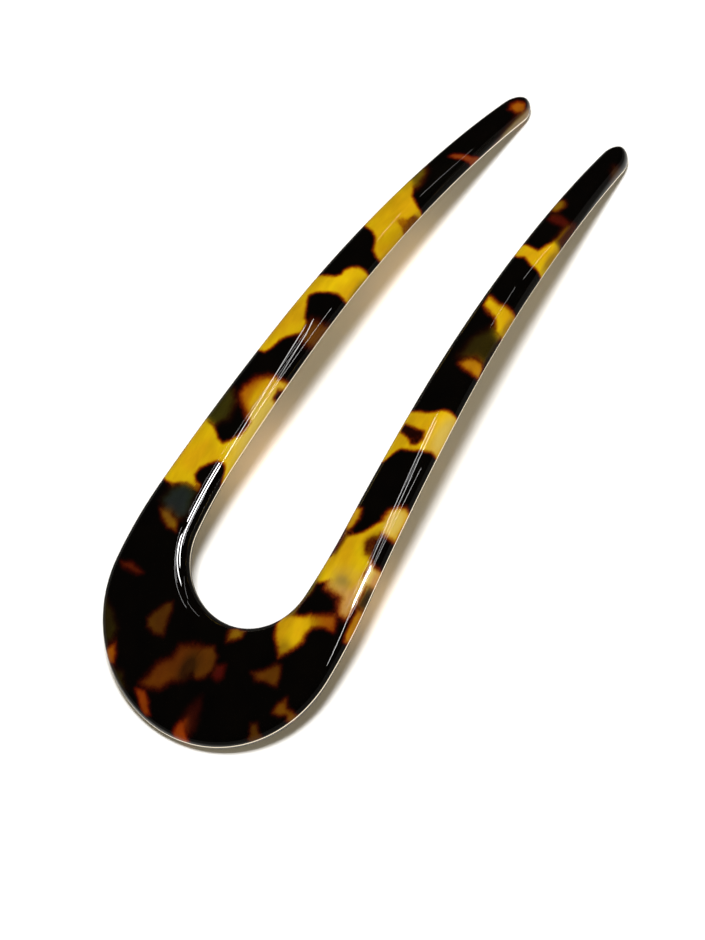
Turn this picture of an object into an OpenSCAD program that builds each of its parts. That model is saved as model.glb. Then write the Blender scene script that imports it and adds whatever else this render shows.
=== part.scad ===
// French hair pin: one flat U of plastic sheet, a broad crown and two tapering prongs, bent along
// its length into a shallow bow. It lies on the crown's end and on both tips, with its middle raised.
// X runs across, Y from the crown to the tips and Z up. The origin is at the middle of its footprint.

/* [Blank] */
// Length of the flat blank, from the crown's end to the tips
blank_l = 118.5; // [95:0.5:150]
// Thickness of the crown
thick = 3.5; // [2.6:0.1:6]
// Thickness at the very tips
tip_thick = 2.9; // [2.4:0.1:5]
// Distance from the crown's end at which the prongs start to thin
thin_from = 45; // [10:1:90]

/* [Edge] */
// How far in from the widest point the tumbled edge starts on top
edge_run = 2.8; // [1:0.1:3.5]
// The same at the tips
tip_edge_run = 1.25; // [0.6:0.05:1.4]
// The same underneath, as a share of the run on top
under_run = 0.36; // [0.1:0.02:0.6]
// Height of the edge's widest point, as a share of the thickness
waist = 0.36; // [0.2:0.01:0.5]

/* [Crown] */
// Radius of the crown's round end
crown_r = 20.75; // [16:0.25:30]
// Radius of the shoulder that leads from the round end to the straight side
shoulder_r = 85; // [45:5:200]
// Angle before the widest point at which the shoulder starts
shoulder_lead = 3; // [0:0.5:12]
// Width of the crown between its end and the slot
crown_band = 19.4; // [8:0.1:35]

/* [Slot] */
// Radius of the slot's round end
slot_r = 10.8; // [8.5:0.1:14]
// Radius of the curve that leads from the round end to the slot's straight side
slot_side_r = 90; // [45:5:200]
// Angle before the widest point at which that curve starts
slot_lead = 5; // [0:0.5:12]

/* [Tips] */
// Clear gap between the prongs where their round ends start
tip_gap = 15.1; // [8:0.1:18]
// Width of a prong where its round end starts
tip_w = 4.25; // [3:0.05:8]
// Length of a prong's round end
tip_l = 3.2; // [2:0.1:6]
// How full the round end is, as a share of the way to its corner
tip_fullness = 0.56; // [0.4:0.02:0.8]

/* [Bow] */
// Bending radius of the crown's half
crown_bow_r = 220; // [120:5:600]
// Bending radius of the prongs' half
prong_bow_r = 104; // [80:2:400]
// Distance from the crown's end at which one radius takes over from the other
bow_change = 64; // [20:1:85]

/* [Hidden] */

// Steps along the round ends, the shoulders, the straight sides and the tips, and up the edge to its
// widest point and on to the top
end_steps = 16;
shoulder_steps = 4;
side_steps = 14;
tip_steps = 7;
under_steps = 3;
edge_steps = 6;

// Where the edge's run starts and stops shrinking towards the tips, and the most it takes of the width
shrink_from = 0.45 * blank_l;
shrink_to = 0.96 * blank_l;
edge_share = 0.42;

tip_start = blank_l - tip_l;

// An edge of the blank is a list of [x, s, nx, ns]: a point across and along the flat blank, and the
// direction that leads away from the middle line there.

function arc_run(centre, r, from, to, steps) = [for (i = [0 : steps - 1])
    let (a = from + (to - from) * i / steps)
    [centre.x + r * cos(a), centre.y + r * sin(a), cos(a), sin(a)]];

function line_run(from, to, steps) = let (d = to - from, n = [d.y, -d.x] / norm(d))
    [for (i = [0 : steps - 1]) concat(from + d * i / steps, n)];

// The angle on a circle at which the line to a point outside it leaves, on the point's right
function leaving_angle(centre, r, point) = let (d = point - centre)
    atan2(d.y, d.x) - acos(r / norm(d));

// Round end, shoulder and straight side, up to the point where the tip's round end starts
function half_edge(end_y, r, side_r, lead, tip_x) = let (
    middle = [0, end_y + r],
    side_middle = middle + (r - side_r) * [cos(lead), -sin(lead)],
    tip = [tip_x, tip_start],
    leave = leaving_angle(side_middle, side_r, tip),
    touch = side_middle + side_r * [cos(leave), sin(leave)])
    concat(
        arc_run(middle, r, -90, -lead, end_steps),
        arc_run(side_middle, side_r, -lead, leave, shoulder_steps),
        line_run(touch, tip, side_steps));

outer_side = half_edge(0, crown_r, shoulder_r, shoulder_lead, tip_gap / 2 + tip_w);
inner_side = half_edge(crown_band, slot_r, slot_side_r, slot_lead, tip_gap / 2);

// The side's own line carried on to the blank's full length
function tip_corner(side, tip_x) = let (n = [side[len(side) - 1][2], side[len(side) - 1][3]])
    [tip_x - n.y / n.x * tip_l, blank_l];

outer_corner = tip_corner(outer_side, tip_gap / 2 + tip_w);
inner_corner = tip_corner(inner_side, tip_gap / 2);
tip_end = (outer_corner + inner_corner) / 2;

function bezier(a, b, c, d, t) = a * pow(1 - t, 3) + 3 * b * t * pow(1 - t, 2) + 3 * c * pow(t, 2) * (1 - t)
    + d * pow(t, 3);
function bezier_way(a, b, c, d, t) = (b - a) * pow(1 - t, 2) + 2 * (c - b) * t * (1 - t)
    + (d - c) * pow(t, 2);

// A quarter of a tip: it leaves along the side and ends square to the prong, at the very tip
function tip_run(tip_x, corner, turn) = let (
    a = [tip_x, tip_start],
    b = a + tip_fullness * (corner - a),
    c = tip_end + tip_fullness * (corner - tip_end))
    [for (i = [0 : tip_steps])
        let (t = i / tip_steps, way = bezier_way(a, b, c, tip_end, t), n = turn * [way.y, -way.x] / norm(way))
        concat(bezier(a, b, c, tip_end, t), n)];

// Both edges with every direction leading out of the solid
outer_edge = concat(outer_side, tip_run(tip_gap / 2 + tip_w, outer_corner, 1));
inner_edge = concat(
    [for (p = inner_side) [p[0], p[1], -p[2], -p[3]]],
    tip_run(tip_gap / 2, inner_corner, -1));
stations = len(outer_edge);

// Thickness along the blank
function thick_at(s) = thick + (tip_thick - thick) * max(0, min(1, (s - thin_from) / (blank_l - thin_from)));

// The edge's run at a section, from the points on both sides of the sheet
function run_at(p, q) = let (
    t = max(0, min(1, (p[1] - shrink_from) / (shrink_to - shrink_from))),
    run = edge_run + (tip_edge_run - edge_run) * t * t * (3 - 2 * t))
    min(run, max(tip_edge_run, edge_share * norm([p[0] - q[0], p[1] - q[1]])));

// The edge from bottom to top as [inset, height], as shares of the run and of the thickness. Height is
// counted from the sheet's middle.
edge_profile = concat(
    [for (i = [0 : under_steps - 1]) let (a = 90 - 90 * i / under_steps)
        [under_run * (1 - cos(a)), waist * (1 - sin(a)) - 0.5]],
    [for (i = [0 : edge_steps]) let (a = 90 * i / edge_steps)
        [1 - cos(a), waist + (1 - waist) * sin(a) - 0.5]]);

function edge_points(p, side, run) = [for (e = edge_profile)
    let (s = p[1] - p[3] * e[0] * run)
    [side * (p[0] - p[2] * e[0] * run), s, e[1] * thick_at(s)]];

function reversed(list) = [for (i = [len(list) - 1 : -1 : 0]) list[i]];

// One section through a prong or the crown: up the outer edge, over the top and down the inner edge
function section(i, side) = let (run = run_at(outer_edge[i], inner_edge[i]))
    concat(edge_points(outer_edge[i], side, run), reversed(edge_points(inner_edge[i], side, run)));

// At the very tip both edges are the same points
function tip_section(side) = edge_points(outer_edge[stations - 1], side, tip_edge_run);

// The bow, as two arcs with one direction where they meet: [along, up, slope] for a place on the blank
function bow_at(s) = let (
    first = min(s, bow_change) / crown_bow_r * 180 / PI,
    second = max(s - bow_change, 0) / prong_bow_r * 180 / PI)
    [crown_bow_r * sin(first) + prong_bow_r * (sin(first + second) - sin(first)),
     crown_bow_r * (cos(first) - 1) + prong_bow_r * (cos(first + second) - cos(first)),
     -first - second];

function bent(p) = let (b = bow_at(p[1])) [p[0], b[0] - p[2] * sin(b[2]), b[1] + p[2] * cos(b[2])];

// Where the flat underside starts at the crown's end and at the tips, which both rest on the surface
crown_rest = bent([0, under_run * edge_run, -thick / 2]);
tip_foot = blank_l - under_run * tip_edge_run;
tip_rest = bent([0, tip_foot, -thick_at(tip_foot) / 2]);
lean = atan2(tip_rest.z - crown_rest.z, tip_rest.y - crown_rest.y);

function levelled(p) = [p.x, p.y * cos(lean) + p.z * sin(lean), p.z * cos(lean) - p.y * sin(lean)];

flat_points = concat(
    tip_section(-1),
    [for (i = [stations - 2 : -1 : 1]) each section(i, -1)],
    [for (i = [0 : stations - 2]) each section(i, 1)],
    tip_section(1));
level_points = [for (p = flat_points) levelled(bent(p))];
along = [for (p = level_points) p.y];
up = [for (p = level_points) p.z];
to_origin = [0, -(min(along) + max(along)) / 2, -min(up)];
pin_points = [for (p = level_points) p + to_origin];

// Sections from tip to tip, and points in an edge and in a whole section
sections = 2 * stations - 1;
edge_size = len(edge_profile);
ring_size = 2 * edge_size;

// Place in the list of point j of section k, where the first and last sections are a single edge
function place(k, j) = let (
    at = j % ring_size,
    folded = at < edge_size ? at : ring_size - 1 - at)
    k == 0 ? folded
    : k == sections - 1 ? edge_size + (sections - 2) * ring_size + folded
    : edge_size + (k - 1) * ring_size + at;

// Two triangles between neighbouring sections, of which one closes to nothing at the tips
pin_faces = [for (k = [0 : sections - 2], j = [0 : ring_size - 1])
    let (a = place(k, j), b = place(k, j + 1), c = place(k + 1, j + 1), d = place(k + 1, j))
    each [if (a != b) [a, b, c], if (c != d) [a, c, d]]];

module hair_pin() {
    color("#3a2208") polyhedron(pin_points, pin_faces, convexity = 6);
}

hair_pin();
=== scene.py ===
from math import atan2, cos, hypot, pi, radians, sin

import bpy
import numpy as np
from mathutils import Matrix, Vector


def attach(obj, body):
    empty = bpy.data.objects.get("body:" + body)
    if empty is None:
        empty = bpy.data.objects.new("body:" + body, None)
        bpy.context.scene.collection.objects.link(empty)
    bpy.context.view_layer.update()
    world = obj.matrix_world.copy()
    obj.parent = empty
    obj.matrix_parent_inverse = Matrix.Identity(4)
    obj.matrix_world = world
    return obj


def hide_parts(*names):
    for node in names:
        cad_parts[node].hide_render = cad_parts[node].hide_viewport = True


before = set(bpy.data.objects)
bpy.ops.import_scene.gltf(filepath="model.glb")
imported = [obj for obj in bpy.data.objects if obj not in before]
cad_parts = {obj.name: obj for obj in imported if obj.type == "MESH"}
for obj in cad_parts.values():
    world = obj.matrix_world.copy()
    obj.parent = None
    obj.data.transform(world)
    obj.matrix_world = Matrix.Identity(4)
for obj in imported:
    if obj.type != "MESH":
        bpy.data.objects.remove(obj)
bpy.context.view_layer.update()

mm = 0.001
print("frame loaded")


# Small helpers for node trees

def addNode(tree, kind, inputs=None, **settings):
    # an input that is a socket gets linked, and any other becomes the input's own value
    node = tree.nodes.new(kind)
    for name, value in settings.items():
        setattr(node, name, value)
    for key, value in (inputs or {}).items():
        if isinstance(value, bpy.types.NodeSocket):
            tree.links.new(value, node.inputs[key])
        else:
            node.inputs[key].default_value = value
    return node


def calc(tree, operation, *values):
    return addNode(tree, "ShaderNodeMath", dict(enumerate(values)), operation=operation).outputs[0]


def vectorCalc(tree, operation, *values):
    return addNode(tree, "ShaderNodeVectorMath", dict(enumerate(values)), operation=operation).outputs[0]


def scaled(tree, vector, factor):
    return addNode(tree, "ShaderNodeVectorMath", {0: vector, "Scale": factor}, operation="SCALE").outputs[0]


def parts(tree, vector):
    return addNode(tree, "ShaderNodeSeparateXYZ", {0: vector}).outputs


def joined(tree, x, y, z):
    return addNode(tree, "ShaderNodeCombineXYZ", {0: x, 1: y, 2: z}).outputs[0]


def remap(tree, value, fromMin, fromMax, toMin=0.0, toMax=1.0, smooth=False):
    # carries a value over from one span to another
    inputs = {"Value": value, "From Min": fromMin, "From Max": fromMax, "To Min": toMin, "To Max": toMax}
    way = "SMOOTHSTEP" if smooth else "LINEAR"
    return addNode(tree, "ShaderNodeMapRange", inputs, interpolation_type=way).outputs[0]


def mixVectors(tree, share, a, b):
    return addNode(tree, "ShaderNodeMix", {0: share, 4: a, 5: b}, data_type="VECTOR").outputs[1]


def mixColours(tree, share, a, b, how="MIX"):
    inputs = {0: share, 6: a, 7: b}
    return addNode(tree, "ShaderNodeMix", inputs, data_type="RGBA", blend_type=how).outputs[2]


def colour(red, green, blue):
    # a colour as a screen shows it, 0 to 255, turned into the linear values that Blender works in
    shown = [c / 255 for c in (red, green, blue)]
    return (*(((c + 0.055) / 1.055) ** 2.4 if c > 0.04 else c / 12.92 for c in shown), 1.0)


# The pin's own sizes, in millimetres and degrees, as in the solid model

pin = {
    "blankLength": 118.5,
    "thickness": 3.5,
    "tipThickness": 2.9,
    "thinFrom": 45.0,
    "crownRadius": 20.75,
    "shoulderRadius": 85.0,
    "shoulderLead": 3.0,
    "crownBand": 19.4,
    "slotRadius": 10.8,
    "slotSideRadius": 90.0,
    "slotLead": 5.0,
    "tipGap": 15.1,
    "tipWidth": 4.25,
    "tipLength": 3.2,
    "tipFullness": 0.56,
    "crownBow": 220.0,
    "prongBow": 104.0,
    "bowChange": 64.0,
    "waist": 0.36,  # height of the widest point of the polished edge, as a share of the thickness
    "edgeRun": 2.8,  # how far in from the widest point the edge's roll starts on top
    "tipEdgeRun": 1.25,
    "underRun": 0.36,  # the same underneath, as a share of the run on top
    "edgeShare": 0.42,  # the most that the run takes of the sheet's width
    "shrinkFrom": 0.45,  # where the run starts to shrink towards the tips, as a share of the length
    "shrinkTo": 0.96,
    "mergeGap": 0.002,  # points closer than this become one, which closes the tips
    "endSteps": 100,  # steps along the crown's end, and below along the rest, up the wall and across
    "shoulderSteps": 20,
    "sideSteps": 190,
    "tipSteps": 26,
    "edgeSteps": 16,
    "underEdgeSteps": 8,
    "topSteps": 44,
    "underSteps": 20,
}


def arcRun(centre, radius, start, end, steps):
    angle = np.linspace(start, end, steps + 1)[:-1]
    out = np.c_[np.cos(angle), np.sin(angle)]
    return np.c_[centre + radius * out, out]


def halfEdge(endY, radius, sideRadius, lead, tipX):
    # one edge of the flat blank: round end, long shoulder, then straight to where the tip rounds off
    tip = np.array([tipX, pin["blankLength"] - pin["tipLength"]])
    middle = np.array([0.0, endY + radius])
    lead = radians(lead)
    sideMiddle = middle + (radius - sideRadius) * np.array([cos(lead), -sin(lead)])
    way = tip - sideMiddle
    leave = atan2(way[1], way[0]) - np.arccos(sideRadius / hypot(*way))
    touch = sideMiddle + sideRadius * np.array([cos(leave), sin(leave)])
    straight = tip - touch
    out = np.array([straight[1], -straight[0]]) / hypot(*straight)
    share = np.linspace(0, 1, pin["sideSteps"] + 1)[:-1, None]
    line = np.c_[touch + share * straight, np.tile(out, (pin["sideSteps"], 1))]
    return np.r_[arcRun(middle, radius, -pi / 2, -lead, pin["endSteps"]),
                 arcRun(sideMiddle, sideRadius, -lead, leave, pin["shoulderSteps"]), line]


def tipRun(start, corner, end, turn):
    # a quarter of a tip, from the prong's side round to the very end
    near = start + pin["tipFullness"] * (corner - start)
    far = end + pin["tipFullness"] * (corner - end)
    t = np.linspace(0, 1, pin["tipSteps"] + 1)[:, None]
    place = start * (1 - t) ** 3 + 3 * near * t * (1 - t) ** 2 + 3 * far * t * t * (1 - t) + end * t ** 3
    way = (near - start) * (1 - t) ** 2 + 2 * (far - near) * t * (1 - t) + (end - far) * t * t
    out = turn * np.c_[way[:, 1], -way[:, 0]] / np.linalg.norm(way, axis=1)[:, None]
    return np.c_[place, out]


def bothEdges():
    # outer and inner edge from the left tip round the crown to the right tip, as place and outward way
    outerX = pin["tipGap"] / 2 + pin["tipWidth"]
    innerX = pin["tipGap"] / 2
    outer = halfEdge(0, pin["crownRadius"], pin["shoulderRadius"], pin["shoulderLead"], outerX)
    inner = halfEdge(pin["crownBand"], pin["slotRadius"], pin["slotSideRadius"], pin["slotLead"], innerX)

    def cornerOf(side, x):
        return np.array([x - side[-1, 3] / side[-1, 2] * pin["tipLength"], pin["blankLength"]])

    outerCorner = cornerOf(outer, outerX)
    innerCorner = cornerOf(inner, innerX)
    end = (outerCorner + innerCorner) / 2
    start = pin["blankLength"] - pin["tipLength"]
    inner[:, 2:] *= -1
    outer = np.r_[outer, tipRun(np.array([outerX, start]), outerCorner, end, 1)]
    inner = np.r_[inner, tipRun(np.array([innerX, start]), innerCorner, end, -1)]
    mirror = np.array([-1, 1, -1, 1])
    return [np.r_[edge[:0:-1] * mirror, edge] for edge in (outer, inner)]


def sectionRing():
    # one loop round a prong: across from outer to inner edge, inset as a share of the edge's run, and
    # height as a share of the thickness
    waist = pin["waist"] - 0.5
    under = [(0.0, pin["underRun"] * (1 - cos(a)), waist - (waist + 0.5) * sin(a))
             for a in np.linspace(pi / 2, 0, pin["underEdgeSteps"] + 1)]
    upper = [(0.0, 1 - cos(a), waist + (0.5 - waist) * sin(a))
             for a in np.linspace(0, pi / 2, pin["edgeSteps"] + 1)[1:]]
    up = under + upper
    over = [(a, 1.0, 0.5) for a in np.linspace(0, 1, pin["topSteps"] + 2)[1:-1]]
    down = [(1.0, inset, height) for _, inset, height in up[::-1]]
    back = [(a, pin["underRun"], -0.5) for a in np.linspace(1, 0, pin["underSteps"] + 2)[1:-1]]
    ring = up + over + down + back
    return np.array(ring + ring[:1])


def bowAt(s):
    # how far along and up a place on the blank comes to lie, and its slope there
    first = min(s, pin["bowChange"]) / pin["crownBow"]
    second = max(s - pin["bowChange"], 0) / pin["prongBow"]
    along = pin["crownBow"] * sin(first) + pin["prongBow"] * (sin(first + second) - sin(first))
    up = pin["crownBow"] * (cos(first) - 1) + pin["prongBow"] * (cos(first + second) - cos(first))
    return along, up, -first - second


def leanAngle():
    # the slope between the two edges that the pin lies on, under its crown and under its tips
    low = []
    for s, half in ((pin["underRun"] * pin["edgeRun"], pin["thickness"] / 2),
                    (pin["blankLength"] - pin["underRun"] * pin["tipEdgeRun"], pin["tipThickness"] / 2)):
        along, up, slope = bowAt(s)
        low.append((along + half * sin(slope), up - half * cos(slope)))
    return atan2(low[1][1] - low[0][1], low[1][0] - low[0][0])


def guide(name, places, outward=None):
    # a line of points that the loft reads its places from, and the way out of the edge at each
    mesh = bpy.data.meshes.new(name)
    mesh.from_pydata([tuple(p) for p in places], [(i, i + 1) for i in range(len(places) - 1)], [])
    if outward is not None:
        layer = mesh.attributes.new("outward", "FLOAT_VECTOR", "POINT")
        layer.data.foreach_set("vector", outward.astype(np.float32).ravel())
    made = bpy.data.objects.new(name, mesh)
    bpy.context.scene.collection.objects.link(made)
    return made


def edgeGuide(name, edge):
    flat = np.zeros(len(edge))
    return guide(name, np.c_[edge[:, :2], flat] * mm, np.c_[edge[:, 2:], flat])


def worked(tree, kind, shape, inputs=None, **settings):
    # the mesh after one more node
    return addNode(tree, kind, {"Geometry": shape, **(inputs or {})}, **settings).outputs[0]


def loftTree():
    # lofts the ring along the two edges of the flat blank, then bends the blank into its bow
    tree = bpy.data.node_groups.new("pinLoft", "GeometryNodeTree")
    wanted = {
        "NodeSocketGeometry": ["Geometry"],
        "NodeSocketObject": ["Outer edge", "Inner edge", "Section"],
        "NodeSocketInt": ["Stations", "Ring points"],
        "NodeSocketFloat": ["Thickness", "Tip thickness", "Thin from", "Blank length", "Edge run",
                            "Tip edge run", "Edge share", "Shrink from", "Shrink to", "Crown bow",
                            "Prong bow", "Bow change", "Lean"],
        "NodeSocketMaterial": ["Finish"],
    }
    for kind, names in wanted.items():
        for name in names:
            tree.interface.new_socket(name, in_out="INPUT", socket_type=kind)
    tree.interface.new_socket("Geometry", in_out="OUTPUT", socket_type="NodeSocketGeometry")
    given = addNode(tree, "NodeGroupInput").outputs
    length = given["Blank length"]

    # which station along the edges and which spot in the ring each point of the grid stands for
    ringSize = given["Ring points"]
    grid = addNode(tree, "GeometryNodeMeshGrid", {"Vertices X": given["Stations"], "Vertices Y": ringSize})
    index = addNode(tree, "GeometryNodeInputIndex").outputs[0]
    station = calc(tree, "FLOOR", calc(tree, "DIVIDE", calc(tree, "ADD", index, 0.5), ringSize))
    spot = calc(tree, "SUBTRACT", index, calc(tree, "MULTIPLY", station, ringSize))

    def pick(source, place, attribute=None):
        # where a point of a guide lies, or an attribute that it has
        shape = addNode(tree, "GeometryNodeObjectInfo", {"Object": given[source]}).outputs["Geometry"]
        if attribute:
            value = addNode(tree, "GeometryNodeInputNamedAttribute", {"Name": attribute},
                            data_type="FLOAT_VECTOR").outputs[0]
        else:
            value = addNode(tree, "GeometryNodeInputPosition").outputs[0]
        return worked(tree, "GeometryNodeSampleIndex", shape, {"Value": value, "Index": place},
                      data_type="FLOAT_VECTOR")

    outer = pick("Outer edge", station)
    outerWay = pick("Outer edge", station, "outward")
    inner = pick("Inner edge", station)
    innerWay = pick("Inner edge", station, "outward")
    across, inset, height = parts(tree, pick("Section", spot))

    # the rolled edge runs in less far near the tips and where the sheet is narrow
    run = remap(tree, parts(tree, outer)[1], calc(tree, "MULTIPLY", length, given["Shrink from"]),
                calc(tree, "MULTIPLY", length, given["Shrink to"]), given["Edge run"],
                given["Tip edge run"], smooth=True)
    width = addNode(tree, "ShaderNodeVectorMath", {0: outer, 1: inner}, operation="DISTANCE").outputs["Value"]
    most = calc(tree, "MAXIMUM", given["Tip edge run"], calc(tree, "MULTIPLY", width, given["Edge share"]))
    pull = calc(tree, "MULTIPLY", inset, calc(tree, "MINIMUM", run, most))
    outerIn = vectorCalc(tree, "SUBTRACT", outer, scaled(tree, outerWay, pull))
    innerIn = vectorCalc(tree, "SUBTRACT", inner, scaled(tree, innerWay, pull))
    x, s, _ = parts(tree, mixVectors(tree, across, outerIn, innerIn))

    # thickness, and height over the sheet's middle
    thick = remap(tree, s, given["Thin from"], length, given["Thickness"], given["Tip thickness"])
    z = calc(tree, "MULTIPLY", thick, height)
    depth = calc(tree, "SUBTRACT", calc(tree, "MULTIPLY", thick, 0.5), z)

    # the bow: two arcs that share their direction where they meet
    first = calc(tree, "DIVIDE", calc(tree, "MINIMUM", s, given["Bow change"]), given["Crown bow"])
    beyond = calc(tree, "MAXIMUM", calc(tree, "SUBTRACT", s, given["Bow change"]), 0.0)
    both = calc(tree, "ADD", first, calc(tree, "DIVIDE", beyond, given["Prong bow"]))
    sinFirst, sinBoth = (calc(tree, "SINE", angle) for angle in (first, both))
    cosFirst, cosBoth = (calc(tree, "COSINE", angle) for angle in (first, both))
    along = calc(tree, "ADD", calc(tree, "MULTIPLY", given["Crown bow"], sinFirst),
                 calc(tree, "MULTIPLY", given["Prong bow"], calc(tree, "SUBTRACT", sinBoth, sinFirst)))
    up = calc(tree, "ADD", calc(tree, "MULTIPLY", given["Crown bow"], calc(tree, "SUBTRACT", cosFirst, 1.0)),
              calc(tree, "MULTIPLY", given["Prong bow"], calc(tree, "SUBTRACT", cosBoth, cosFirst)))
    bentY = calc(tree, "ADD", along, calc(tree, "MULTIPLY", z, sinBoth))
    bentZ = calc(tree, "ADD", up, calc(tree, "MULTIPLY", z, cosBoth))

    # laid down on the crown's end and the tips
    cosLean = calc(tree, "COSINE", given["Lean"])
    sinLean = calc(tree, "SINE", given["Lean"])
    laidY = calc(tree, "ADD", calc(tree, "MULTIPLY", bentY, cosLean), calc(tree, "MULTIPLY", bentZ, sinLean))
    laidZ = calc(tree, "SUBTRACT", calc(tree, "MULTIPLY", bentZ, cosLean),
                 calc(tree, "MULTIPLY", bentY, sinLean))

    # the place on the flat blank in millimetres, and the way out of the nearest edge, for the pattern
    blank = scaled(tree, joined(tree, x, s, depth), 1 / mm)
    wayOut = scaled(tree, mixVectors(tree, across, outerWay, innerWay), calc(tree, "SUBTRACT", 1.0, inset))
    shape = grid.outputs["Mesh"]
    for name, value in (("blank", blank), ("wayOut", wayOut)):
        shape = worked(tree, "GeometryNodeStoreNamedAttribute", shape, {"Name": name, "Value": value},
                       data_type="FLOAT_VECTOR", domain="POINT")

    # moved so that it stands on the floor with its middle over the origin
    shape = worked(tree, "GeometryNodeSetPosition", shape, {"Position": joined(tree, x, laidY, laidZ)})
    box = addNode(tree, "GeometryNodeBoundBox", {"Geometry": shape}).outputs
    lowest = parts(tree, box["Min"])
    highest = parts(tree, box["Max"])
    middleY = calc(tree, "MULTIPLY", calc(tree, "ADD", lowest[1], highest[1]), -0.5)
    settle = joined(tree, 0.0, middleY, calc(tree, "MULTIPLY", lowest[2], -1.0))
    shape = worked(tree, "GeometryNodeSetPosition", shape, {"Offset": settle})
    shape = worked(tree, "GeometryNodeMergeByDistance", shape, {"Distance": pin["mergeGap"] * mm})
    shape = worked(tree, "GeometryNodeSetShadeSmooth", shape)
    shape = worked(tree, "GeometryNodeRealizeInstances", shape)
    shape = worked(tree, "GeometryNodeSetMaterial", shape, {"Material": given["Finish"]})
    addNode(tree, "NodeGroupOutput", {"Geometry": shape})
    return tree


def loftPin(finish):
    outer, inner = bothEdges()
    ring = sectionRing()
    guides = [edgeGuide("outerEdge", outer), edgeGuide("innerEdge", inner), guide("section", ring)]
    values = {"Outer edge": guides[0], "Inner edge": guides[1], "Section": guides[2],
              "Stations": len(outer), "Ring points": len(ring), "Lean": leanAngle(), "Finish": finish}
    lengths = {"Thickness": "thickness", "Tip thickness": "tipThickness", "Thin from": "thinFrom",
               "Blank length": "blankLength", "Edge run": "edgeRun", "Tip edge run": "tipEdgeRun",
               "Crown bow": "crownBow", "Prong bow": "prongBow", "Bow change": "bowChange"}
    shares = {"Edge share": "edgeShare", "Shrink from": "shrinkFrom", "Shrink to": "shrinkTo"}
    values.update({name: pin[key] * mm for name, key in lengths.items()})
    values.update({name: pin[key] for name, key in shares.items()})

    piece = bpy.data.objects.new("tortoiseshellPin", bpy.data.meshes.new("tortoiseshellPin"))
    bpy.context.scene.collection.objects.link(piece)
    modifier = piece.modifiers.new("loft", "NODES")
    modifier.node_group = loftTree()
    for item in modifier.node_group.interface.items_tree:
        if item.in_out == "INPUT" and item.name in values:
            modifier[item.identifier] = values[item.name]
    depsgraph = bpy.context.evaluated_depsgraph_get()
    made = bpy.data.meshes.new_from_object(piece.evaluated_get(depsgraph), preserve_all_data_layers=True,
                                           depsgraph=depsgraph)
    piece.modifiers.remove(modifier)
    piece.data = made
    made.name = "tortoiseshellPin"
    for line in guides:
        bpy.data.objects.remove(line)
    return piece


# The sheet's own measures, in millimetres, and the chips that it is pressed from

acetate = {
    "foldDepth": 0.65,  # how far down the wall the pattern folds out, as a share of the thickness
    "toneReach": (-4, 0.4),  # how far outside and inside its border a chip still takes part in the tone
    "toneMix": 0.4,  # how far the tones of chips side by side run together, as a share of their softness
    "darkest": -9.0,  # how far from any clear chip still counts, in softnesses
    "hazeReach": 1.5,  # where a smudge ends, in half lengths
    "hazeFall": 1.5,  # how steeply it fades towards there
    # a chip's border wanders and frays: how far, as a share of its softness, and in waves of what size
    "ragged": 0.5,
    "raggedSize": 2.4,
    "fray": 0.25,
    "fraySize": 0.5,
    # from dark to clear: the stretch that the border takes, and its tints between black and white
    "borderSpan": (-0.9, 1.1),
    "borderTints": ((0.2, (0.03, 0.002, 0.002, 1)), (0.4, (0.20, 0.04, 0.03, 1)),
                    (0.58, (0.50, 0.26, 0.12, 1)), (0.8, (0.88, 0.80, 0.6, 1))),
    # streaks along the sheet, in the clear chips
    "streakLength": 9.0,
    "streakStretch": (3.2, 1, 1.5),
    "streakSpan": (0.3, 0.7),
    "streakShade": (0.78, 1.15),
    # how far apart the clear chips' lemon and warmer parts lie
    "drift": 7.0,
    "driftStretch": (1.6, 1, 1),
    "driftSpan": (0.36, 0.64),
    "lemon": (1.07, 1.13, 0.7, 1),
    "warm": (0.97, 0.84, 1.1, 1),
    "cloudSize": 5,  # the dark body varies a little between two near blacks
    "cloudTones": ((0.0003, 0.0003, 0.0003, 1), (0.0022, 0.0013, 0.0006, 1)),
    # the painted highlight, a pale line in the edge that glows by its own emission: distance along the blank,
    # then depth and half width as shares of the thickness
    "paintedEdgeLine": ((0, 0.4, 0.045), (8, 0.5, 0.045), (20, 0.62, 0.05), (60, 0.68, 0.06), (100, 0.8, 0.07)),
    "paintedLineFade": (0.4, 1.0),
    "paintedLineTone": (0.68, 0.61, 0.49, 1),
    "paintedLineGlow": 0.6,
    # the painted highlight is dim at the slot's end: what is left there, how far beyond the band it comes
    # back, and how near the slot it has to be
    "slotShine": 0.15,
    "slotShineRise": (2, 9),
    "slotReach": 0.8,
    # the polish: its mean roughness, how much that varies, and the faint waves that tumbling leaves
    "roughness": 0.016,
    "polishSize": 1.4,
    "polishSpread": (0.6, 1.4),
    "waveSize": 9,
    "waveHeight": 0.00002,
    "waveStrength": 0.15,
    "ior": 1.49,
}

tones = {
    "yellow": colour(186, 153, 8),
    "gold": colour(176, 134, 16),
    "cream": colour(184, 162, 80),
    "ochre": colour(156, 106, 8),
    "honey": colour(148, 86, 6),
    "orange": colour(134, 72, 4),
    "ember": colour(112, 44, 5),
    "bronze": colour(112, 80, 8),
    "caramel": colour(96, 58, 4),
    "amber": colour(78, 43, 3),
    "sienna": colour(80, 38, 3),
    "hazel": colour(64, 36, 3),
    "bark": colour(84, 48, 10),
    "umber": colour(48, 28, 8),
    "copper": colour(116, 52, 14),
    "flame": colour(132, 54, 5),
    "rust": colour(72, 22, 4),
    "mahogany": colour(52, 16, 3),
    "garnet": colour(60, 8, 5),
    "wine": colour(38, 5, 3),
    "olive": colour(92, 76, 12),
    "moss": colour(46, 42, 8),
    "peat": colour(34, 27, 4),
    "soot": colour(14, 7, 3),
    "tan": colour(178, 138, 74),
    "straw": colour(150, 128, 78),
    "slate": colour(26, 33, 31),
    "ash": colour(100, 86, 58),
}

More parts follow.
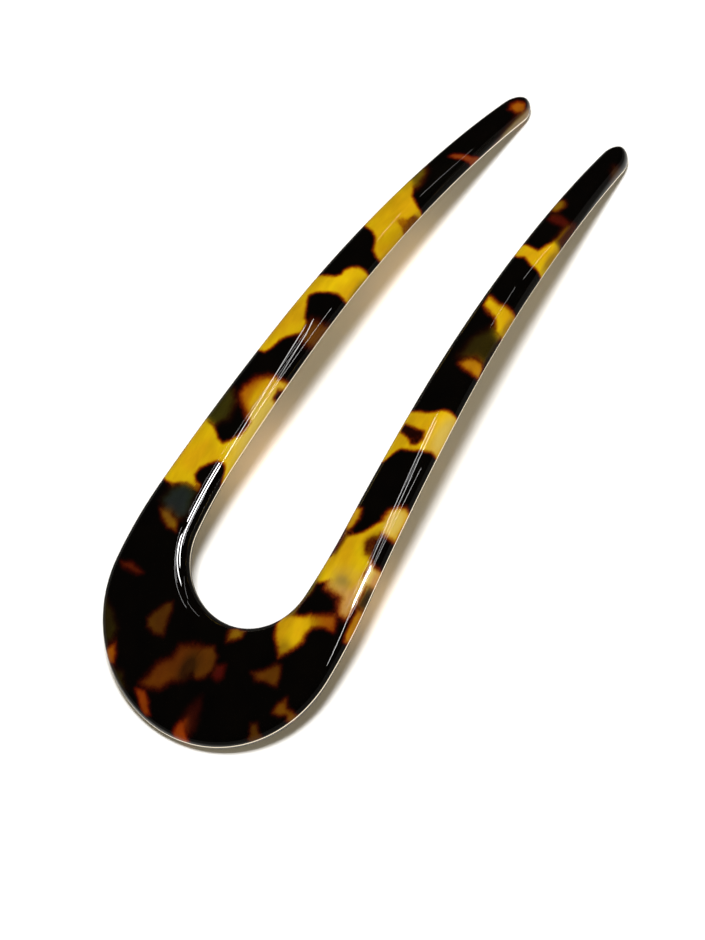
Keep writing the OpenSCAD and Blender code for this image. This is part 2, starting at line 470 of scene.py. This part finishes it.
# How soft a chip's border is in millimetres, by how deep in the sheet the chip lies
near, sunk, deep = 0.5, 0.75, 1.1

# Light chips: tone, softness, then corners in millimetres on the flat blank, as x across and distance
# from the crown's end. A corner outside the blank's edge lies down the wall, as if it were folded out.
lightChips = {
    "leftTip": ("honey", sunk, [
        (-10, 115.1), (-9.6, 116.3), (-8.4, 116.8), (-7.2, 116.2), (-7, 115), (-8.2, 113.9),
        (-9.5, 113.9)]),
    "leftTipWall": ("umber", deep, [
        (-7.6, 118), (-5, 117.5), (-4.5, 108.6), (-6, 108.2), (-7.2, 110.5), (-7.6, 113), (-8, 115)]),
    # leftTipPaintedGlow is painted light: the left tip's inner wall is painted a pale straw glow
    "leftTipPaintedGlow": ("straw", sunk, [
        (-7, 117.6), (-4.5, 117), (-4.4, 104.5), (-5.5, 104.5), (-6, 110), (-6.8, 113)]),
    "leftTipStreak": ("copper", near, [
        (-11, 100.6), (-10.6, 101.5), (-9.2, 102.2), (-8, 102.9), (-6, 104.3), (-4.5, 104.6), (-4.5, 102),
        (-7, 102), (-8.6, 101.5), (-9.8, 100.7)]),
    "leftHighOlive": ("olive", deep, [
        (-15, 97.5), (-13.4, 97.6), (-11.8, 96.2), (-11.3, 93), (-12.6, 91.5), (-15, 91)]),
    "leftHigh": ("yellow", near, [
        (-16.5, 83.6), (-16, 93.8), (-12.8, 93.9), (-11.6, 92.8), (-11, 91.5), (-9.8, 90.8), (-8.9, 90.5),
        (-5, 90.2), (-5, 79.8), (-8.9, 79.9), (-10.4, 80.4), (-10.8, 81.5), (-11.3, 82.3),
        (-12.6, 83.1)]),
    "leftMiddle": ("yellow", near, [
        (-17.5, 73), (-14.6, 73.3), (-13, 73.9), (-12.3, 74.6), (-12.3, 75.6), (-11.5, 76.5),
        (-10.5, 77.1), (-5.5, 77.4), (-5.5, 71.2), (-9, 71.5), (-10.5, 71.6), (-12, 71.2), (-13.8, 70.3),
        (-14.8, 69.3), (-14, 68), (-13, 66), (-12.2, 65.5), (-12.1, 63.7), (-13, 62.8), (-13.8, 62),
        (-14.5, 61), (-15, 59.5), (-15.6, 58.3), (-19.5, 58)]),
    "leftWallBrown": ("bark", deep, [
        (-12, 66.4), (-7, 67.4), (-6.6, 62.6), (-10.2, 62.2), (-12, 62.7)]),
    "leftOrange": ("yellow", sunk, [
        (-7, 56.3), (-12, 56), (-13, 54.8), (-13.6, 52.5), (-13.3, 50.4), (-12.4, 48.8), (-11.3, 47.8),
        (-11.4, 46.2), (-12.2, 44.4), (-8, 43)]),
    "leftOrangeSide": ("honey", deep, [
        (-11, 56), (-12.8, 55.6), (-14.4, 54.3), (-15.5, 52.4), (-15.6, 50.9), (-14.6, 49.9), (-13, 49),
        (-12, 48)]),
    "leftOlive": ("moss", deep, [
        (-20, 51.4), (-17, 51.2), (-15.2, 49.8), (-14.7, 46.8), (-16.2, 44.6), (-20, 44.4)]),
    "leftBig": ("yellow", near, [
        (-22, 45.4), (-18.4, 45.2), (-16.5, 44.9), (-15.4, 44.1), (-14.6, 43.4), (-13.6, 43.2),
        (-12.8, 44), (-12.3, 45), (-8, 45), (-8, 36.6), (-9, 37.2), (-9.7, 38.4), (-10.4, 39.7),
        (-11.2, 40.4), (-12.7, 40.3), (-13.6, 39.3), (-14.7, 38.1), (-14.9, 37), (-14.2, 36.1),
        (-13.2, 35.9), (-13.1, 35.2), (-15.4, 35.1), (-16.6, 34.6), (-17.4, 33.9), (-22.5, 33.8)]),
    "leftSlate": ("slate", deep, [
        (-18.2, 31), (-17.4, 33.6), (-15.6, 35), (-13, 35), (-12.4, 31), (-13.6, 29.6), (-16.4, 29.8)]),
    "crownWindow": ("bronze", sunk, [
        (-17.3, 29.7), (-15.6, 30.3), (-13.5, 29.4), (-13, 28), (-14.6, 27.7), (-16.2, 28.6)]),
    "crownStreak": ("rust", sunk, [
        (-19.4, 19.7), (-17, 20.6), (-14.4, 20), (-15.5, 19.3), (-18, 19.1)]),
    "leftRim": ("peat", deep, [
        (-20, 14.4), (-16.2, 12.9), (-14, 10.7), (-13.8, 8.6), (-15.2, 6.8), (-19, 8)]),
    "leftRimLow": ("orange", sunk, [
        (-14.4, 7.4), (-13.2, 8.7), (-12.3, 7.2), (-11.9, 5.6), (-12.9, 4.6), (-15, 4), (-15.4, 6)]),
    "leftRimFoot": ("peat", deep, [
        (-12.8, 5.4), (-9.6, 5.2), (-8.2, 3.4), (-9.4, 1.6), (-12.6, 2.6)]),
    "crownLeft": ("hazel", sunk, [
        (-8.6, 17.9), (-7.6, 18.4), (-7, 17), (-6.8, 15), (-6.3, 13.2), (-8, 12.8), (-9.7, 13.1),
        (-10.3, 14.4), (-9.5, 16)]),
    "crownSweep": ("sienna", deep, [
        (0.8, 15), (-1.2, 14.6), (-3.2, 13.2), (-3.6, 11.2), (-5.3, 9.2), (-5.8, 7), (-6.4, 5.2),
        (-4.6, 5), (-2.9, 6), (-1.6, 7.6), (0.4, 9), (1.6, 11)]),
    "crownMiddle": ("amber", sunk, [
        (-0.4, 13.4), (0.4, 14.9), (2.2, 15.9), (3.6, 14.8), (4, 12.4), (3.1, 10.8), (1.8, 10),
        (-0.2, 11)]),
    "crownRed": ("garnet", sunk, [
        (3.8, 11.6), (3.8, 13.6), (5.4, 14.4), (6, 12.4), (5.3, 11.4)]),
    "slotFoot": ("bronze", sunk, [
        (2.6, 19.8), (3.1, 21), (5, 20.7), (5.5, 19.2), (4.7, 18.1), (3.7, 17.2), (3, 18.6)]),
    "crownFoot": ("ember", sunk, [
        (-6.6, 4.1), (-5, 4.6), (-3.5, 3.4), (-2.6, 1.6), (-3.4, 0.7), (-4.5, 1.5), (-5.5, 2.8)]),
    "crownFootRed": ("flame", sunk, [
        (2.2, 0.8), (2.5, 3.4), (3.6, 4.1), (4.5, 2.4), (5.4, 0.6), (4.8, -1.4), (2.5, -1.2)]),
    "crownFootDark": ("wine", deep, [
        (2.6, 3.6), (3, 6), (4.2, 8.4), (5.2, 6.6), (5.7, 3.6), (5.2, 1.8), (4.2, 2.2)]),
    "rightCrown": ("yellow", sunk, [
        (8.2, 25.8), (9, 23.8), (9.9, 22.8), (10.5, 21.6), (11.6, 20.6), (12.7, 19.3), (13.5, 20.3),
        (14.5, 22), (15, 23.5), (14.8, 24.3), (15.4, 25.6), (16.2, 26.6), (14, 27.4), (13, 26.5),
        (12, 26.2), (10, 26)]),
    "rightCrownArm": ("orange", sunk, [
        (13.5, 26.8), (15, 27.9), (16.5, 28.5), (17.6, 29.2), (18.4, 28.4), (18.8, 26.7), (16.8, 26.5),
        (15.2, 25.4)]),
    "rightNearTan": ("olive", sunk, [
        (8, 33), (12, 32.8), (12, 30), (11.3, 28), (11.4, 26.2), (10.4, 25), (7, 26)]),
    "crownRight": ("amber", sunk, [
        (9.6, 15.3), (11.5, 16.7), (12.8, 18.2), (13.7, 18.5), (14.5, 16.8), (14.7, 15.3), (12.5, 15),
        (11, 14.5)]),
    "rightRim": ("caramel", sunk, [
        (16, 11.6), (16.1, 13.4), (17, 14.6), (18, 13.4), (19.4, 13.1), (21.4, 12.4), (21.6, 9.8),
        (19, 11), (18.4, 11.9), (17.2, 11.5)]),
    "rightRimLow": ("hazel", sunk, [
        (13.4, 8.6), (14.6, 9.2), (15.7, 7.6), (16.9, 6.8), (17.8, 5.4), (16, 4.2), (14.4, 5.4),
        (14.2, 6.9)]),
    "rightTan": ("tan", deep, [
        (13.6, 35.2), (16, 36.4), (19, 36.8), (20.2, 35.6), (20.3, 31.4), (19.5, 29.2), (18, 29.4),
        (16.8, 31.6), (13.8, 31.8)]),
    "rightLow": ("yellow", near, [
        (12.4, 40.2), (13.8, 41), (14.8, 42), (15.5, 43.1), (16.4, 44.7), (17.2, 45.6), (18.2, 44.6),
        (18.4, 42), (18.6, 36), (18, 33.4), (14, 33.2), (12.6, 31.9), (8.5, 31.9), (8, 36.2),
        (11.2, 36.4), (12.2, 37.2), (12.4, 38.4)]),
    "rightNearBrown": ("rust", sunk, [
        (8, 41.4), (13, 40.6), (13, 36.6), (8, 35.6)]),
    "rightNotch": ("gold", sunk, [
        (8, 44.9), (12.4, 44.8), (13, 43.4), (12.8, 41.6), (12, 40.9), (8, 41.2)]),
    "rightWallTan": ("yellow", sunk, [
        (16.4, 45), (16.6, 46.7), (17.8, 47.9), (19.4, 48.3), (21.5, 48), (21.5, 43), (18.8, 42.9),
        (17.2, 43)]),
    "rightWallLow": ("tan", sunk, [
        (18.4, 38.6), (22.5, 38.5), (23, 35.2), (18.6, 35)]),
    "rightWallOlive": ("peat", sunk, [
        (20, 35.7), (23.6, 35.6), (24, 31.4), (20.2, 31.6)]),
    "rightWallFoot": ("ochre", sunk, [
        (20.7, 31.6), (22.2, 32.1), (24, 31.6), (24, 26.2), (21.6, 26.1), (20.8, 27.6)]),
    "rightMiddle": ("yellow", near, [
        (8, 61.5), (10.9, 61.5), (12.3, 62), (13.6, 62.5), (14.5, 63.1), (15.2, 63.8), (16.4, 64.2),
        (20.5, 64.3), (21, 57.2), (17.8, 57.4), (16, 56.8), (14.4, 56), (13, 55.5), (12.3, 54.6),
        (11.6, 53.3), (10.6, 52.4), (8, 52.2)]),
    "rightUpper": ("ochre", sunk, [
        (13.1, 71.2), (13.8, 72.5), (15, 73.3), (16.6, 73.4), (17.9, 72.8), (18.6, 71), (17, 70.8),
        (14.4, 70.8)]),
    "rightUpperDim": ("peat", deep, [
        (12, 72.2), (12.4, 76), (14, 78.8), (17.4, 79), (18, 73), (15, 73), (13.4, 72)]),
    "rightHigh": ("yellow", sunk, [
        (10.2, 82.8), (12.4, 82.5), (15, 82.7), (18.4, 83), (18.4, 78.6), (16.4, 78.1), (15.2, 78.3),
        (14.4, 79.1), (13.4, 80), (12, 80.4), (10.6, 81.1)]),
    "rightTop": ("yellow", near, [
        (6.5, 93.2), (12, 93.3), (12.5, 94.6), (13, 96.2), (17, 96.4), (17, 90.4), (14, 90.4),
        (12.8, 90.3), (11.9, 90.7), (11, 91.1), (10, 90.6), (6.5, 90.6)]),
    "rightTopBrown": ("mahogany", sunk, [
        (12.8, 95.6), (12.6, 98.6), (12.8, 100.4), (14, 101.3), (16, 102.2), (16, 95.4)]),
    "rightTopStreak": ("bronze", near, [
        (13, 95.8), (13, 99.6), (13.6, 99.8), (13.7, 95.8)]),
    "rightTipNotch": ("bronze", sunk, [
        (6.5, 103.3), (9.6, 103.2), (10.4, 102.2), (10.2, 101), (9.7, 100.5), (6.5, 100.4)]),
    "rightTipStreak": ("garnet", sunk, [
        (9.6, 99.9), (11, 100.6), (13, 100.2), (13, 98.9), (11, 98.6), (9.6, 98.8)]),
    "rightTipSpot": ("umber", deep, [
        (11.2, 113.6), (12.4, 114.6), (14.5, 115), (14.5, 111.6), (12.8, 111.5), (11.6, 112.4)]),
}

# Dark chips that lie in the light ones: how dark at most, softness and corners
darkChips = {
    "leftHighSpot": (-0.3, sunk, [
        (-10, 86.8), (-8.6, 87.6), (-8, 88.8), (-4, 89.4), (-4, 86), (-7.6, 86.3)]),
    "leftWallSpot": (0.7, sunk, [
        (-9.8, 54.3), (-8, 54.7), (-8, 52.6), (-9.6, 52.8)]),
    "rightSpot": (0.55, near, [
        (10.4, 59.1), (14.6, 59.5), (15, 58.6), (14.7, 57.3), (13.9, 56.9), (12.8, 57.7), (10.5, 57.8)]),
    "rightDuskSpot": (0.1, sunk, [
        (16.2, 40.6), (16.8, 42), (18.6, 42.4), (18.6, 39.6), (17, 39.3)]),
    "rightWallSpot": (0.9, sunk, [
        (17.6, 43), (22, 43), (22.4, 38.4), (19.6, 38.2), (18, 39), (17.2, 41)]),
    "rightSpotRim": (0.9, near, [
        (19.9, 32), (20.7, 31), (20.8, 27), (20, 27)]),
}

# Soft shadows deep under the clear parts: tone, place, half lengths across and along, strength
smudges = {
    "leftHighSmudge": ("bark", (-7, 88), (1.6, 2), 0.55),
    "leftLowWall": ("olive", (-7, 74.4), (1.6, 2.6), 0.6),
    "leftPale": ("cream", (-9.4, 48), (2.6, 7), 0.75),
    "crownVeil": ("soot", (0, 10.8), (1.7, 3.2), 0.75),
    "rightCrownFoot": ("bronze", (12.8, 20.6), (1.5, 1.7), 0.7),
    "rightDusk": ("umber", (17.2, 41), (1.6, 2.2), 0.6),
    "rightGrey": ("ash", (15.9, 34), (1.4, 1), 0.55),
    "rightWallPale": ("cream", (19.5, 35.8), (1.0, 3.8), 0.8),
    "rightPale": ("cream", (19, 45.6), (1.9, 2.6), 0.8),
    "rightMiddlePale": ("cream", (18.4, 60.6), (2.2, 3.6), 0.75),
    "rightHighDim": ("bronze", (17, 80.5), (1.2, 2.4), 0.6),
    "rightTopDim": ("bronze", (15.4, 93.4), (1.2, 2.4), 0.7),
}


def insideDistance(places, corners):
    # how far inside a chip each place lies, in millimetres, negative outside
    corners = np.array(corners, float)
    nearest = np.full(len(places), np.inf)
    inside = np.zeros(len(places), bool)
    for a, b in zip(corners, np.roll(corners, -1, axis=0)):
        side = b - a
        reach = places - a
        share = np.clip(reach @ side / (side @ side), 0, 1)[:, None]
        nearest = np.minimum(nearest, np.linalg.norm(reach - share * side, axis=1))
        crosses = (a[1] > places[:, 1]) != (b[1] > places[:, 1])
        rise = side[1] or 1.0  # a level side is never crossed
        inside ^= crosses & (places[:, 0] < a[0] + (places[:, 1] - a[1]) * (b[0] - a[0]) / rise)
    return np.where(inside, nearest, -nearest)


def readVectors(mesh, name):
    values = np.zeros(len(mesh.vertices) * 3, np.float32)
    mesh.attributes[name].data.foreach_get("vector", values)
    return values.reshape(-1, 3).astype(float)


def paintedEdgeLine(blank):
    # how far each place is from the painted highlight line in the edge, in half widths, and how bright it is
    # there
    s, depth = blank[:, 1], blank[:, 2]
    thick = np.interp(s, [pin["thinFrom"], pin["blankLength"]], [pin["thickness"], pin["tipThickness"]])
    reach, line, half = np.array(acetate["paintedEdgeLine"]).T
    paintedLineOffset = (depth / thick - np.interp(s, reach, line)) / np.interp(s, reach, half)
    slotEnd = [0, pin["crownBand"] + pin["slotRadius"]]
    atSlot = np.linalg.norm(blank[:, :2] - slotEnd, axis=1) < pin["slotRadius"] + acetate["slotReach"]
    rise = [pin["crownBand"] + beyond for beyond in acetate["slotShineRise"]]
    paintedLineShine = np.where(atSlot, np.interp(s, rise, [acetate["slotShine"], 1]), 1.0)
    return paintedLineOffset, paintedLineShine


def layChips(piece):
    mesh = piece.data
    count = len(mesh.vertices)
    blank = readVectors(mesh, "blank")
    # folded out: down the wall counts as away from the edge, and comes back under the pin
    full = pin["thickness"]
    fold = acetate["foldDepth"] * full
    down = np.interp(blank[:, 2], [0, fold, full], [0, fold, 0])
    places = blank[:, :2] + readVectors(mesh, "wayOut")[:, :2] * down[:, None]
    paintedLineOffset, paintedLineShine = paintedEdgeLine(blank)

    # how deep in a clear chip each place lies, from well inside the dark, and the chips' mixed tone
    clear = np.full(count, acetate["darkest"])
    mix = np.zeros((count, 3))
    total = np.zeros(count)
    for tone, soft, corners in lightChips.values():
        d = insideDistance(places, corners)
        weight = np.exp(np.clip(d, *acetate["toneReach"]) / (acetate["toneMix"] * soft))
        mix += weight[:, None] * np.array(tones[tone][:3])
        total += weight
        clear = np.maximum(clear, d / soft)
    for most, soft, corners in darkChips.values():
        clear = np.minimum(clear, np.maximum(-insideDistance(places, corners) / soft, -most))

    # the smudges' strength and mixed tone, with a total that is never nothing
    haze = np.zeros(count)
    hazeMix = np.zeros((count, 3))
    hazeTotal = np.full(count, 1e-6)
    for tone, middle, half, strength in smudges.values():
        away = np.linalg.norm((places - np.array(middle)) / np.array(half), axis=1)
        soft = strength * np.clip(acetate["hazeReach"] - away, 0, 1) ** acetate["hazeFall"]
        haze = np.maximum(haze, soft)
        hazeMix += soft[:, None] * np.array(tones[tone][:3])
        hazeTotal += soft
    chipTone = mix / np.maximum(total, 1e-9)[:, None]
    hazeTone = hazeMix / hazeTotal[:, None]

    for name, values in (("clearDepth", clear), ("haze", haze), ("paintedLineOffset", paintedLineOffset), ("paintedLineShine", paintedLineShine)):
        layer = mesh.attributes.new(name, "FLOAT", "POINT")
        layer.data.foreach_set("value", values.astype(np.float32))
    for name, values in (("chipTone", chipTone), ("hazeTone", hazeTone)):
        layer = mesh.attributes.new(name, "FLOAT_COLOR", "POINT")
        layer.data.foreach_set("color", np.c_[values, np.ones(count)].astype(np.float32).ravel())
    mesh.attributes.remove(mesh.attributes["wayOut"])


# Tortoiseshell acetate: dark and clear chips with brown borders, under a hard polish

def tortoiseshell():
    finish = bpy.data.materials.new("tortoiseshellAcetate")
    finish.use_nodes = True
    tree = finish.node_tree
    tree.nodes.clear()

    def attribute(name, output):
        return addNode(tree, "ShaderNodeAttribute", attribute_name=name).outputs[output]

    blank = attribute("blank", "Vector")

    def grain(size, detail, stretch=(1, 1, 1), rough=0.5):
        vector = vectorCalc(tree, "MULTIPLY", blank, stretch)
        inputs = {"Vector": vector, "Scale": 1 / size, "Detail": detail, "Roughness": rough}
        return addNode(tree, "ShaderNodeTexNoise", inputs).outputs[0]

    def wander(amount, size):
        return calc(tree, "MULTIPLY", calc(tree, "SUBTRACT", grain(size, 2), 0.5), 2 * amount)

    # from the dark chips over a red-brown border to the clear ones
    waves = calc(tree, "ADD", wander(acetate["ragged"], acetate["raggedSize"]),
                 wander(acetate["fray"], acetate["fraySize"]))
    edge = calc(tree, "ADD", attribute("clearDepth", "Fac"), waves)
    border = addNode(tree, "ShaderNodeValToRGB", {0: remap(tree, edge, *acetate["borderSpan"])})
    for position, tint in acetate["borderTints"]:
        border.color_ramp.elements.new(position).color = tint

    # the clear chips' own tones, streaks and smudges
    streak = grain(acetate["streakLength"], 3, acetate["streakStretch"], 0.6)
    shade = remap(tree, streak, *acetate["streakSpan"], *acetate["streakShade"])
    drift = remap(tree, grain(acetate["drift"], 2, acetate["driftStretch"]), *acetate["driftSpan"])
    hue = mixColours(tree, drift, acetate["warm"], acetate["lemon"])
    chip = mixColours(tree, 1.0, scaled(tree, attribute("chipTone", "Color"), shade), hue, "MULTIPLY")
    hazed = mixColours(tree, attribute("haze", "Fac"), chip, attribute("hazeTone", "Color"))
    lit = mixColours(tree, 1.0, border.outputs[0], hazed, "MULTIPLY")
    body = mixColours(tree, grain(acetate["cloudSize"], 2), *acetate["cloudTones"])
    base = mixColours(tree, 1.0, lit, body, "ADD")

    # the painted highlight: a thin pale line in the edge, in the base colour and glowing by its own emission
    aside = calc(tree, "ABSOLUTE", attribute("paintedLineOffset", "Fac"))
    line = remap(tree, aside, *acetate["paintedLineFade"], 1.0, 0.0, smooth=True)
    line = calc(tree, "MULTIPLY", line, attribute("paintedLineShine", "Fac"))
    base = mixColours(tree, line, base, acetate["paintedLineTone"])
    paintedGlow = scaled(tree, acetate["paintedLineTone"][:3], line)

    least, most = (acetate["roughness"] * share for share in acetate["polishSpread"])
    polish = remap(tree, grain(acetate["polishSize"], 4), 0.0, 1.0, least, most)
    wave = addNode(tree, "ShaderNodeBump", {"Height": grain(acetate["waveSize"], 1),
                                            "Distance": acetate["waveHeight"],
                                            "Strength": acetate["waveStrength"]}).outputs[0]
    surface = addNode(tree, "ShaderNodeBsdfPrincipled", {
        "Base Color": base,
        "Roughness": polish,
        "Normal": wave,
        "IOR": acetate["ior"],
        # the emission is the painted highlight line's glow
        "Emission Color": paintedGlow,
        "Emission Strength": acetate["paintedLineGlow"],
    })
    addNode(tree, "ShaderNodeOutputMaterial", {"Surface": surface.outputs[0]})
    return finish


finish = tortoiseshell()
piece = loftPin(finish)
layChips(piece)
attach(piece, "root")
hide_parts("hair_pin")
print("pin lofted:", len(piece.data.vertices), "points,", len(piece.data.polygons), "faces")


# Floor and light, in metres, degrees and watts

studio = {
    "floorSize": 6.0,
    "floorTone": (0.93, 0.93, 0.93, 1),
    "floorRoughness": 0.8,
    "floorGloss": 0.2,
    # painted shade: in the polish the floor's colour darkens between these two distances, by this much
    "glintNear": 0.001,
    "glintFar": 0.009,
    "glintFade": 0.9,
    "keyPlace": (0.188, 0.14, 1.0),
    "keySize": 0.2,
    "keyPower": 11.5,
    "fillTone": (1.84, 1.58, 1.08, 1),
    "fillSky": 0.08,  # how bright the fill is overhead, as a share of its brightness at the horizon
    "fillTop": 0.6,  # how high up it is as dim as that, as the upward part of the way there
    "roomTone": 0.012,  # what the polish sees where no lamp is
    "stripDistance": 1.0,
    # tubes along the pin, seen as streaks in its polish: lean, width, reach and brightness
    "longStrips": {
        "nearStrip": (8, 0.012, (-0.2, 0.09), 20),
        "thirdStrip": (20, 0.01, (-0.05, 0.085), 24),
        "outerStrip": (46, 0.02, (-0.12, 0.16), 30),
    },
    # level tubes that cross over the pin: two ends, width, brightness, and its far end's share of that
    "crossStrips": {
        "crownTube": ((-0.25, 0.13), (1.75, -0.5), 0.016, 17, 3.0),
        "secondTube": ((0.0, 0.14), (1.2, -0.1), 0.011, 24, 0.8),
        "tipTube": ((0.05, 0.74), (0.96, 1.31), 0.02, 12, 0.7),
        "tipTubeLow": ((-0.06, 0.48), (-0.33, 0.67), 0.014, 14, 1.0),
    },
    "fadeFrom": 0.2,  # where along a tube its brightness starts to change, and below where it ends
    "fadeTo": 0.6,
    # the warm light that comes through the clear chips on to the floor: place, size and power
    "glowTone": (1.0, 0.6, 0.27),
    "glows": {
        "leftLowGlow": ((-0.0125, -0.0125, 0.007), (0.005, 0.012), 0.00024),
        "leftHighGlow": ((-0.0098, 0.0235, 0.007), (0.004, 0.016), 0.00021),
        "rightGlow": ((0.018, -0.0235, 0.006), (0.003, 0.008), 0.0001),
    },
    # thin lamps close over the slot's end and the right prong: place, aim, size, spread and brightness
    "nearLamps": {
        "slotLampOuter": ((0.0052, -0.0279, 0.0331), (-0.0125, -0.0285, 0.01), (0.0104, 0.0022), 90, 17),
        "slotLampInner": ((-0.0012, -0.0279, 0.0369), (-0.0125, -0.0285, 0.01), (0.0104, 0.0022), 90, 17),
        "prongLamp": ((0.034, -0.0261, 0.036), (0.019, -0.0241, 0.011), (0.0085, 0.004), 50, 13),
    },
}


def layFloor():
    half = studio["floorSize"] / 2
    corners = [(-half, -half, 0), (half, -half, 0), (half, half, 0), (-half, half, 0)]
    mesh = bpy.data.meshes.new("floor")
    mesh.from_pydata(corners, [], [(0, 1, 2, 3)])
    floor = bpy.data.objects.new("floor", mesh)
    bpy.context.scene.collection.objects.link(floor)
    paper = bpy.data.materials.new("palePaper")
    paper.use_nodes = True
    tree = paper.node_tree
    shader = tree.nodes["Principled BSDF"]
    # painted shade: in the polish the floor's colour darkens with distance, so it shows only close by, as
    # where the light falls off round the pin
    path = addNode(tree, "ShaderNodeLightPath").outputs
    far = remap(tree, path["Ray Length"], studio["glintNear"], studio["glintFar"])
    dimmed = calc(tree, "MULTIPLY", calc(tree, "MULTIPLY", path["Is Glossy Ray"], far), studio["glintFade"])
    tree.links.new(mixColours(tree, dimmed, studio["floorTone"], (0, 0, 0, 1)), shader.inputs["Base Color"])
    shader.inputs["Roughness"].default_value = studio["floorRoughness"]
    shader.inputs["Specular IOR Level"].default_value = studio["floorGloss"]
    mesh.materials.append(paper)


def hangLight(name, place, turn, size, power, glossy=True, diffuse=True):
    lamp = bpy.data.lights.new(name, "AREA")
    lamp.shape = "RECTANGLE"
    lamp.size, lamp.size_y = size
    lamp.energy = power
    made = bpy.data.objects.new(name, lamp)
    bpy.context.scene.collection.objects.link(made)
    made.location = place
    made.rotation_euler = turn
    made.visible_camera = False
    made.visible_glossy = glossy
    made.visible_diffuse = diffuse
    return lamp


def hangStrip(name, place, turn, size, brightness):
    # a lamp that is seen only as a streak in the polish
    return hangLight(name, place, turn, size, brightness * pi * size[0] * size[1], diffuse=False)


def hangLongStrip(name, lean, width, reach, brightness):
    # along the pin, leaning about its length and facing it
    lean, far = radians(lean), studio["stripDistance"]
    place = (far * sin(lean), sum(reach) / 2, far * cos(lean))
    hangStrip(name, place, (0, lean, 0), (width, reach[1] - reach[0]), brightness)


def hangCrossStrip(name, start, end, width, brightness, last):
    # level and slanting, from one place over the pin to another
    way = Vector(end) - Vector(start)
    middle = (Vector(start) + Vector(end)) / 2
    turn = (0, 0, atan2(-way.x, way.y))
    lamp = hangStrip(name, (*middle, studio["stripDistance"]), turn, (width, way.length), brightness)
    fadeStrip(lamp, last)


def fadeStrip(lamp, last):
    # dims or brightens a tube along its length
    lamp.use_nodes = True
    tree = lamp.node_tree
    along = parts(tree, addNode(tree, "ShaderNodeNewGeometry").outputs["Parametric"])[1]
    fade = remap(tree, along, studio["fadeFrom"], studio["fadeTo"], 1.0, last, smooth=True)
    tree.links.new(fade, tree.nodes["Emission"].inputs["Strength"])


def facing(way):
    # the turn of a lamp whose back points along the way
    return Vector(way).to_track_quat("Z", "Y").to_euler()


def lightStudio():
    key = studio["keyPlace"]
    hangLight("key", key, facing(key), (studio["keySize"],) * 2, studio["keyPower"], glossy=False)
    for name, values in studio["longStrips"].items():
        hangLongStrip(name, *values)
    for name, values in studio["crossStrips"].items():
        hangCrossStrip(name, *values)
    for name, (place, size, power) in studio["glows"].items():
        # an unturned lamp shines straight down
        hangLight(name, place, (0, 0, 0), size, power, glossy=False).color = studio["glowTone"]
    for name, (place, target, size, spread, brightness) in studio["nearLamps"].items():
        lamp = hangStrip(name, place, facing(Vector(place) - Vector(target)), size, brightness)
        lamp.spread = radians(spread)


def fillRoom():
    # soft warm light from low all round, which the polish doesn't show, and white behind everything
    world = bpy.data.worlds.new("studio")
    world.use_nodes = True
    bpy.context.scene.world = world
    tree = world.node_tree
    path = addNode(tree, "ShaderNodeLightPath").outputs
    rise = parts(tree, addNode(tree, "ShaderNodeTexCoord").outputs["Generated"])[2]
    sky = remap(tree, rise, 0.0, studio["fillTop"], 1.0, studio["fillSky"])
    fill = scaled(tree, studio["fillTone"][:3], sky)
    room = (studio["roomTone"],) * 3 + (1,)
    lit = mixColours(tree, path["Is Diffuse Ray"], room, fill)
    seen = mixColours(tree, path["Is Camera Ray"], lit, (1, 1, 1, 1))
    tree.links.new(seen, tree.nodes["Background"].inputs["Color"])


# The camera, from the pin's outline in the photo: angles in degrees and lengths in metres

lens = {
    "azimuth": 69.59,
    "elevation": 61.78,
    "roll": 37.73,
    "aimHeight": 0.006,  # the picture's middle is this high over the origin, but for the two slides
    "slideRight": 0.0015700,
    "slideDown": -0.0086995,
    "distance": 0.76864,
    "focalPixels": 5000,
    "photoHeight": 940,
    "clipNear": 0.05,
    "clipFar": 20,
}


def placeCamera():
    azimuth, elevation, roll = (radians(lens[k]) for k in ("azimuth", "elevation", "roll"))
    forward = Vector((-sin(azimuth) * cos(elevation), cos(azimuth) * cos(elevation), -sin(elevation)))
    right = Vector((cos(azimuth), sin(azimuth), 0))
    down = forward.cross(right)
    rightRolled = cos(roll) * right + sin(roll) * down
    downRolled = cos(roll) * down - sin(roll) * right
    data = bpy.data.cameras.new("camera")
    data.lens = lens["focalPixels"] * data.sensor_width / lens["photoHeight"]
    data.clip_start = lens["clipNear"]
    data.clip_end = lens["clipFar"]
    camera = bpy.data.objects.new("camera", data)
    bpy.context.scene.collection.objects.link(camera)
    aim = Vector((0, 0, lens["aimHeight"]))
    place = aim - lens["slideRight"] * rightRolled - lens["slideDown"] * downRolled
    place -= lens["distance"] * forward
    turn = Matrix((rightRolled, -downRolled, -forward)).transposed().to_4x4()
    camera.matrix_world = Matrix.Translation(place) @ turn
    bpy.context.scene.camera = camera


layFloor()
lightStudio()
fillRoom()
placeCamera()
bpy.context.scene.view_settings.view_transform = "Standard"
print("floor, lights and camera in place")
